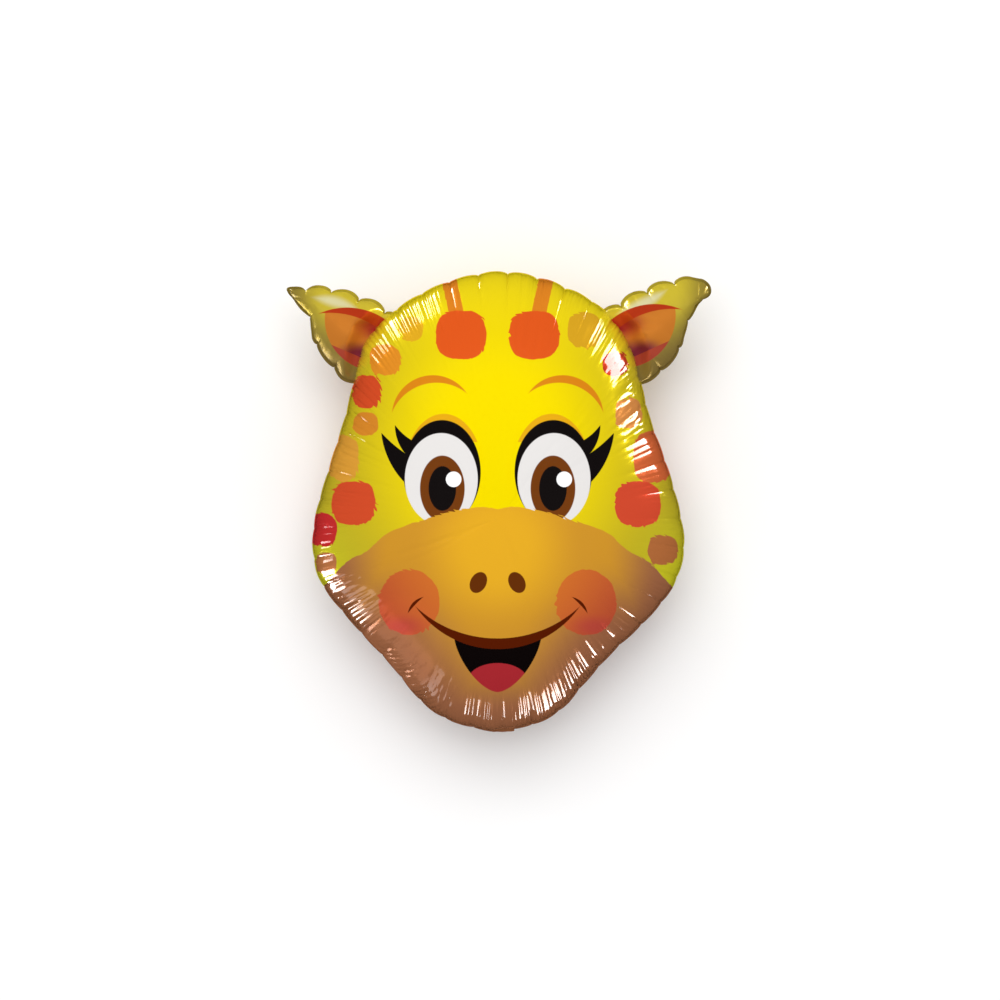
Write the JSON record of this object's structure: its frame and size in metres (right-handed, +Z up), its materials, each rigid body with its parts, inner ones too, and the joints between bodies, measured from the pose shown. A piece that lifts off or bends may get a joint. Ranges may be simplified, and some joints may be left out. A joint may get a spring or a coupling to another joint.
{
  "type": "giraffe foil balloon",
  "caption": "Inflated giraffe-head party balloon of printed metallised film, with scalloped welded edge and two ears, lying face up with its filling tail folded behind.",
  "frame": {"origin": "on the surface the balloon lies on, under the middle of its outline", "axes": "+Z up, out of the printed face; +Y from the chin to the crown; +X to the right of someone who looks at the face"},
  "size_m": [0.3605, 0.391, 0.16],
  "materials": {
    "printed_film": "glossy printed metallised film, yellow with orange and brown print"
  },
  "bodies": {
    "root": {"foil_balloon": "printed_film"}
  },
  "joints": []
}
